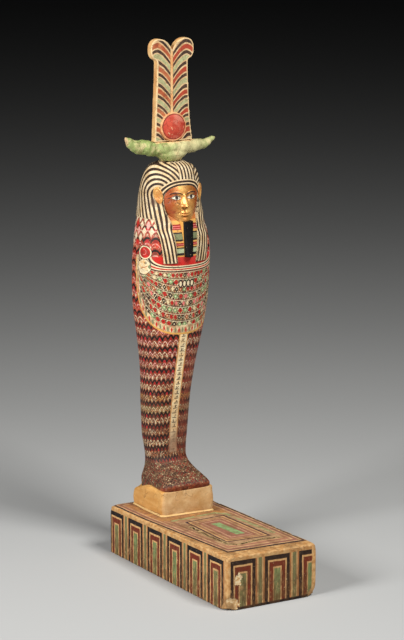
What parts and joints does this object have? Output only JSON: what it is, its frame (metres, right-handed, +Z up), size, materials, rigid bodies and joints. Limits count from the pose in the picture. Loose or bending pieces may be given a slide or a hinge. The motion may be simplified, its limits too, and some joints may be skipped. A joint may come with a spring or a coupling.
{
  "type": "ptah-sokar-osiris statue",
  "caption": "Painted wooden funerary statuette: mummiform god with striped wig, ram horns, plumes and sun disk, standing towards the back of a long rectangular plinth.",
  "frame": {"origin": "middle of the footprint, on the underside of the plinth", "axes": "+Z up through the figure to the plumes; the figure faces -Y along the length of the plinth; its own right hand is on the -X side"},
  "size_m": [0.1256, 0.282, 0.6386],
  "materials": {
    "plinth": "painted plaster over wood, cream, ochre, maroon, green and black, worn and matt",
    "figure": "painted plaster over wood, red ground with a beaded net, striped wig, gilded face, matt to satin",
    "ram_horns": "painted plaster over wood, pale green worn to cream, matt",
    "plumes": "painted plaster over wood, banded feathers in cream, red, green and black with a red disk, matt"
  },
  "bodies": {
    "root": {"plinth": "plinth", "figure": "figure", "ram_horns": "ram_horns", "plumes": "plumes"}
  },
  "joints": []
}
